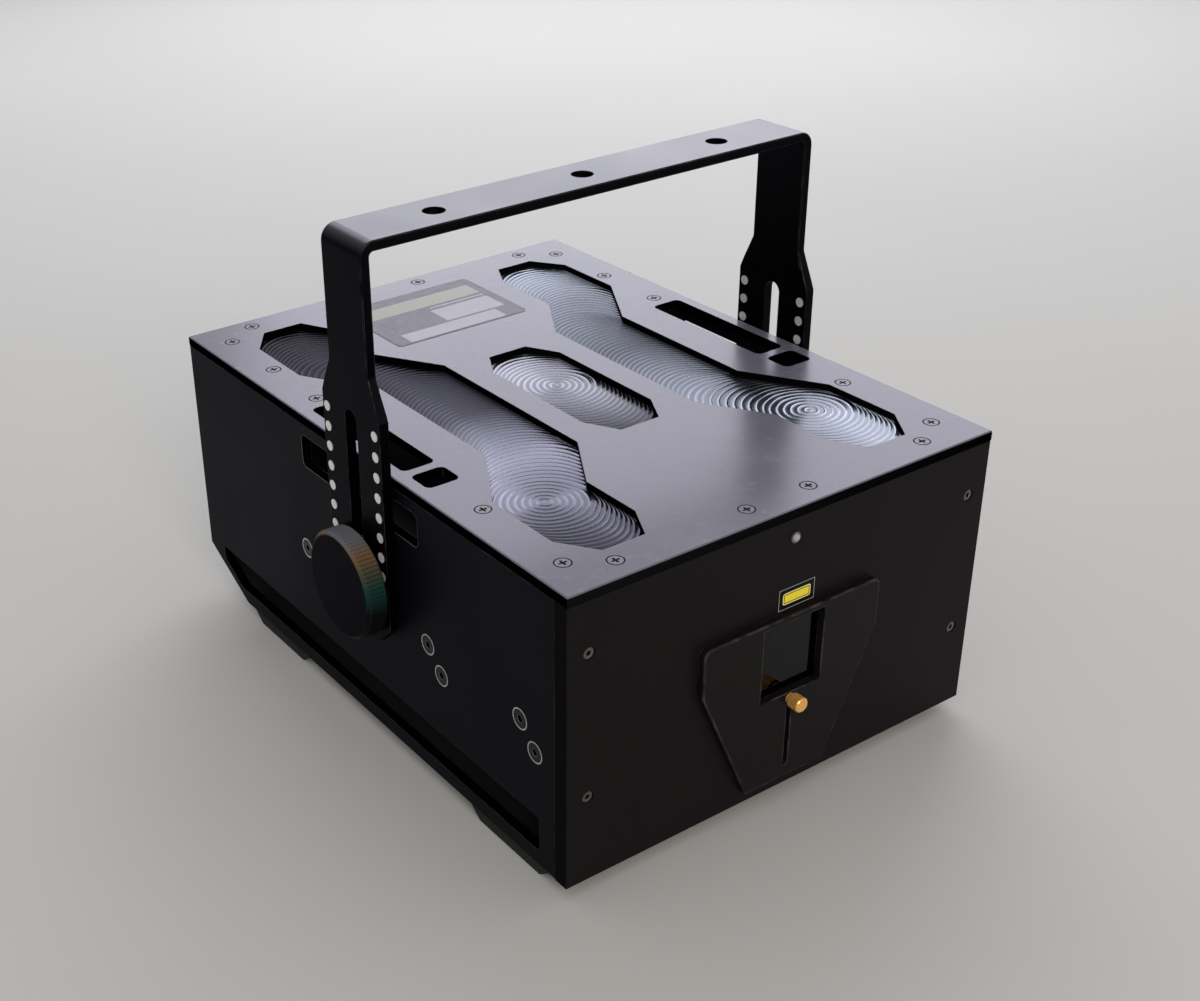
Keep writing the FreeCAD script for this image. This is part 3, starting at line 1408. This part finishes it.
def make_scanner_driver():
    front = "(-driver_front_end)"
    rear = "(driver_length - driver_front_end)"
    inset = "(standoff_inset + standoff_radius)"
    bar = (("-driver_near - driver_bar_width", "-driver_near"),
           (f"{front} + {inset}", f"{rear} - {inset}"), "driver_bar_height")
    make_board("scanner_driver", ("-driver_near - driver_width", "-driver_near"), (front, rear), [bar])


def make_power_supply(rear_span):
    outer = "(-supply_near - supply_width)"
    case = box("supply_case", (outer, "-supply_near"), rear_span, (BENCH_TOP, f"{BENCH_TOP} + supply_height"))
    terminals = box("supply_terminals", (f"{outer} + standoff_inset", "-supply_near - standoff_inset"),
                    ("board_rear_end - terminal_depth", "board_rear_end"),
                    (BENCH_TOP, f"{BENCH_TOP} + terminal_height"))
    add_node(fuse("supply_joined", [case, terminals]), "power_supply")


def make_electronics():
    rear_span = ("board_rear_end", "board_rear_end + board_rear_length")
    make_control_board(rear_span)
    make_scanner_driver()
    make_power_supply(rear_span)


# Rear sockets, switches and fans, modelled facing +Z on a panel whose outer face lies at zero

def make_mains_inlet():
    body = new_body("inlet")
    flange = rectangle("-inlet_half_width - inlet_flange", "inlet_half_width + inlet_flange",
                       "-inlet_half_height - inlet_rim", "inlet_half_height + inlet_rim")
    shell = rectangle("-inlet_half_width", "inlet_half_width", "-inlet_half_height", "inlet_half_height")
    prism(body, "inlet_flange_plate", "Z", "0", "inlet_flange_thickness", [flange])
    prism(body, "inlet_shell", "Z", "0", "-inlet_depth", [shell])
    cavity = rectangle("inlet_wall - inlet_half_width", "inlet_half_width - inlet_wall",
                       "inlet_wall - inlet_half_height", "inlet_half_height - inlet_wall")
    floor = "(inlet_floor - inlet_depth)"
    prism(body, "inlet_cavity", "Z", "inlet_flange_thickness + overrun", floor, [cavity], cut=True)
    prongs = [rectangle(f"{step} * prong_pitch - prong_half", f"{step} * prong_pitch + prong_half",
                        f"{rise} * prong_half - prong_height / 2", f"{rise} * prong_half + prong_height / 2")
              for step, rise in PRONG_STEPS]
    prism(body, "inlet_prongs", "Z", floor, f"{floor} + prong_length", prongs)
    body.Placement = FreeCAD.Placement(Vector(), FACING_REAR)
    place(body, "-inlet_out", REAR, above("socket_row"))
    add_node(body, "mains_inlet")


def make_rocker():
    """A paddle on a cross pin in a flanged frame."""
    axis_y = f"({REAR} - rocker_axis_in)"
    row = above("socket_row")
    wide = "rocker_half_width"
    tall = "rocker_half_height"
    flange = box("rocker_flange_plate", (f"-{wide} - rocker_flange", f"{wide} + rocker_flange"),
                 (REAR, f"{REAR} + rocker_flange_thickness"),
                 (f"{row} - {tall} - rocker_flange", f"{row} + {tall} + rocker_flange"))
    case = box("rocker_case", (f"-{wide} - rocker_wall", f"{wide} + rocker_wall"),
               (f"{REAR} - rocker_depth", REAR),
               (f"{row} - {tall} - rocker_wall", f"{row} + {tall} + rocker_wall"))
    cavity = box("rocker_cavity", (f"-{wide}", wide),
                 (f"{REAR} - rocker_depth + rocker_floor", f"{REAR} + rocker_flange_thickness + overrun"),
                 (f"{row} - {tall}", f"{row} + {tall}"))
    pin_half = f"({wide} + rocker_pin_tail)"
    bore = rod("rocker_bore", "X", "small_shaft + run_gap", (f"-{pin_half} - run_gap", axis_y, row),
               f"2 * {pin_half} + 2 * run_gap")
    frame = cut("rocker_frame_cut", fuse("rocker_frame_solid", [flange, case]), [cavity, bore])
    place(frame, "-rocker_out")
    add_node(frame, "rocker_frame")
    body = new_body("rocker")
    end = "(rocker_half_height - rocker_end_gap)"
    outline = [("-rocker_back", f"-{end}"), ("rocker_face", f"-{end}"), ("rocker_face - rocker_dip", "0"),
               ("rocker_face", end), ("-rocker_back", end)]
    prism(body, "rocker_paddle", "X", f"rocker_gap - {wide}", f"{wide} - rocker_gap", [outline])
    prism(body, "rocker_pin", "X", f"-{pin_half}", pin_half, [Circle("0", "0", "small_shaft")])
    body.Placement = FreeCAD.Placement(Vector(), Rotation(Vector(1, 0, 0), ROCKER_REST_TILT))
    place(body, "-rocker_out", axis_y, row)
    add_node(body, "power_rocker")


def make_key_switch():
    """A lock with a turning barrel; the key stays in it."""
    floor = "key_floor - key_depth"
    face = "key_flange_thickness"
    bore = "key_barrel_radius + run_gap"
    case = new_body("key_case")
    revolve(case, "key_case_turned", [
        ("0", "-key_depth"), ("key_body_radius", "-key_depth"), ("key_body_radius", "0"),
        ("key_flange_radius", "0"), ("key_flange_radius", face), (bore, face), (bore, floor), ("0", floor)])
    add_node(case, "key_switch")
    key = new_body("key")
    revolve(key, "key_barrel_turned", [
        ("0", floor), ("key_barrel_radius", floor), ("key_barrel_radius", face), ("0", face)])
    bow_end = f"{face} + key_bow_length"
    half = [("key_eye_radius", "0"), ("key_eye_radius", f"{face} + key_eye_radius"),
            ("key_bow_half", f"{face} + 2 * key_eye_radius"), ("key_bow_half", bow_end)]
    bow = half + [(f"-{across}", along) for across, along in reversed(half)]
    prism(key, "key_bow", "Y", "-key_bow_half_thickness", "key_bow_half_thickness", [bow])
    eye = Circle("0", f"{bow_end} - key_eye_setback", "key_eye_radius")
    prism(key, "key_eye", "Y", "-key_bow_half_thickness - overrun", "key_bow_half_thickness + overrun",
          [eye], cut=True)
    add_node(key, "key_barrel")
    for body in (case, key):
        body.Placement = FreeCAD.Placement(Vector(), FACING_REAR)
        place(body, "key_out", REAR, above("socket_row"))


def make_ilda_sockets():
    """Two 25-pin signal sockets, in and through."""
    body = new_body("ilda")
    plate = rectangle("-ilda_half_width", "ilda_half_width", "-ilda_half_height", "ilda_half_height")
    prism(body, "ilda_face", "Z", "0", "ilda_plate", [plate])
    shell = [("-shell_half_bottom", "-shell_half_height"), ("shell_half_bottom", "-shell_half_height"),
             ("shell_half_top", "shell_half_height"), ("-shell_half_top", "shell_half_height")]
    prism(body, "ilda_shell", "Z", "-ilda_depth", "shell_length", [shell])
    room = [(f"{across} * (1 - shell_wall / shell_half_bottom)",
             f"{along} * (1 - shell_wall / shell_half_height)") for across, along in shell]
    prism(body, "ilda_room", "Z", "shell_length + overrun", "ilda_plate", [room], cut=True)
    jacks = [Circle(on_side(side, "jack_out"), "0", "jack_radius") for side in (LEFT, RIGHT)]
    prism(body, "ilda_jacks", "Z", "0", "jack_length", jacks)
    copies("ilda_sockets", body, [("ilda_out", REAR, above(f"socket_row + {way} * ilda_spread"), FACING_REAR)
                                  for way in (LEFT, RIGHT)])


def make_xlr_sockets():
    """Control in, control through and interlock."""
    body = new_body("xlr")
    plate = rectangle("-xlr_half_width", "xlr_half_width", "-xlr_half_height", "xlr_half_height")
    prism(body, "xlr_face", "Z", "0", "xlr_plate", [plate])
    prism(body, "xlr_shell", "Z", "0", "-xlr_depth", [Circle("0", "0", "xlr_radius")])
    floor = "xlr_floor - xlr_depth"
    prism(body, "xlr_room", "Z", "xlr_plate + overrun", floor, [Circle("0", "0", "xlr_bore")], cut=True)
    prism(body, "xlr_insert_face", "Z", floor, "0", [Circle("0", "0", "xlr_insert")])
    pins = [Circle(f"xlr_pin_ring * cos({angle})", f"xlr_pin_ring * sin({angle})", "xlr_pin_radius")
            for angle in XLR_PIN_ANGLES]
    prism(body, "xlr_pins", "Z", "overrun", "-xlr_pin_depth", pins, cut=True)
    copies("xlr_sockets", body, [(f"{step} * xlr_spread", REAR, above("fan_row"), FACING_REAR)
                                 for step in (LEFT, 0, RIGHT)])


def make_fan_frame(back):
    """A square frame with a round tunnel and struts that carry the motor plate."""
    body = new_body("fan_case")
    square = rectangle("-fan_half", "fan_half", "-fan_half", "fan_half")
    prism(body, "fan_block", "Z", "-rear_thickness", back, [square])
    prism(body, "fan_tunnel", "Z", "overrun", f"{back} - overrun", [Circle("0", "0", "fan_bore")], cut=True)
    struts = [rectangle("-fan_half", "fan_half", "-fan_strut / 2", "fan_strut / 2"),
              rectangle("-fan_strut / 2", "fan_strut / 2", "-fan_half", "fan_half")]
    for number, bar in enumerate(struts, 1):
        prism(body, f"fan_strut_{number}", "Z", back, f"{back} + fan_plate", [bar])
    prism(body, "fan_motor", "Z", back, f"{back} + fan_plate", [Circle("0", "0", "fan_hub")])
    axle = Circle("0", "0", "fan_axle + run_gap")
    prism(body, "fan_axle_hole", "Z", f"{back} + fan_plate + overrun", f"{back} - overrun", [axle], cut=True)
    return body


def make_fan_rotor(label, back, spot, turn):
    hub_low = f"({back} + fan_plate + overrun)"
    rotor = new_body(f"{label}_body")
    prism(rotor, f"{label}_hub", "Z", hub_low, f"{hub_low} + fan_hub_depth", [Circle("0", "0", "fan_hub")])
    prism(rotor, f"{label}_axle", "Z", back, f"{hub_low} + overrun", [Circle("0", "0", "fan_axle")])
    low = f"({hub_low} + overrun)"
    high = f"({low} + blade_depth)"
    blade = [("-blade_sweep - blade_thickness", low), ("-blade_sweep + blade_thickness", low),
             ("blade_sweep + blade_thickness", high), ("blade_sweep - blade_thickness", high)]
    first = prism(rotor, f"{label}_blade", "X", "fan_hub / 2", "blade_reach", [blade])
    ring_of(rotor, f"{label}_blades", first, BLADE_COUNT)
    rotor.Placement = FreeCAD.Placement(Vector(), turn)
    place(rotor, *spot)
    add_node(rotor, label)


def make_fan_guard():
    """Wire rings on two crossed bars."""
    wires = []
    for step in range(GUARD_RINGS):
        ring = doc.addObject("Part::Torus", f"guard_ring_{step}")
        bind(ring, "Radius1", f"guard_outer - {step} * guard_step")
        bind(ring, "Radius2", "guard_wire")
        place(ring, z="guard_wire")
        wires.append(ring)
    starts = {"X": ("-fan_half", "0", "guard_wire"), "Y": ("0", "-fan_half", "guard_wire")}
    for axis, start in starts.items():
        wires.append(rod(f"guard_bar_{axis}", axis, "guard_wire", start, "2 * fan_half"))
    return fuse("guard", wires)


def make_fans():
    """Two axial fans behind the rear panel, with wire guards outside it."""
    back = "(-rear_thickness - fan_depth)"
    spots = [(on_side(side, "fan_out"), REAR, above("fan_row"), FACING_REAR) for side in (LEFT, RIGHT)]
    copies("fan_frames", make_fan_frame(back), spots)
    for (*spot, turn), label in zip(spots, ("left_fan_rotor", "right_fan_rotor")):
        make_fan_rotor(label, back, spot, turn)
    copies("fan_guards", make_fan_guard(), spots)


# Build, check and write

def build():
    fill_sheet()
    make_top_cover()
    make_front_panel()
    make_rear_panel()
    make_side_panel(LEFT, "left_side_panel")
    make_side_panel(RIGHT, "right_side_panel")
    make_base_tray()
    make_hand_cup(LEFT, "left_hand_cup")
    make_hand_cup(RIGHT, "right_hand_cup")
    make_cross_rail("front_cross_rail", FRONT_INNER, f"{FRONT_INNER} + post_depth", FRONT_SCREWS)
    make_cross_rail("rear_cross_rail", f"{REAR_INNER} - post_depth", REAR_INNER, REAR_SCREWS)
    make_rubber_feet()
    make_fasteners()
    make_exit_window()
    make_mask_plate()
    make_thumb_screw()
    make_guide_pins()
    make_status_led()
    make_marker_plate()
    make_yoke()
    make_index_pins()
    make_pivot_studs()
    make_yoke_guides()
    make_knob(LEFT, "left_knob")
    make_knob(RIGHT, "right_knob")
    make_optical_bench()
    make_heat_sink()
    make_bench_brackets()
    make_laser("green_laser", -1)
    make_laser("blue_laser", 0)
    make_laser("red_laser", 1)
    make_combiner()
    make_shutter()
    make_scanner()
    make_electronics()
    make_mains_inlet()
    make_rocker()
    make_key_switch()
    make_ilda_sockets()
    make_xlr_sockets()
    make_fans()
    doc.recompute()


def check():
    for item in doc.Objects:
        if "Invalid" in item.State or "Error" in item.State:
            raise RuntimeError(f"{item.Label} failed: {item.State}")
        if item.TypeId in ("PartDesign::Pocket", "PartDesign::Hole"):
            if item.BaseFeature.Shape.Volume - item.Shape.Volume < NEAR:
                raise RuntimeError(f"{item.Label} cuts nothing")
    for item in nodes:
        if item.Shape.isNull() or not item.Shape.isValid():
            raise RuntimeError(f"{item.Label} has no valid shape")


def write():
    os.makedirs("parts", exist_ok=True)
    for item in nodes:
        item.Shape.exportStep(f"parts/{item.Label}.step")


build()
check()
write()
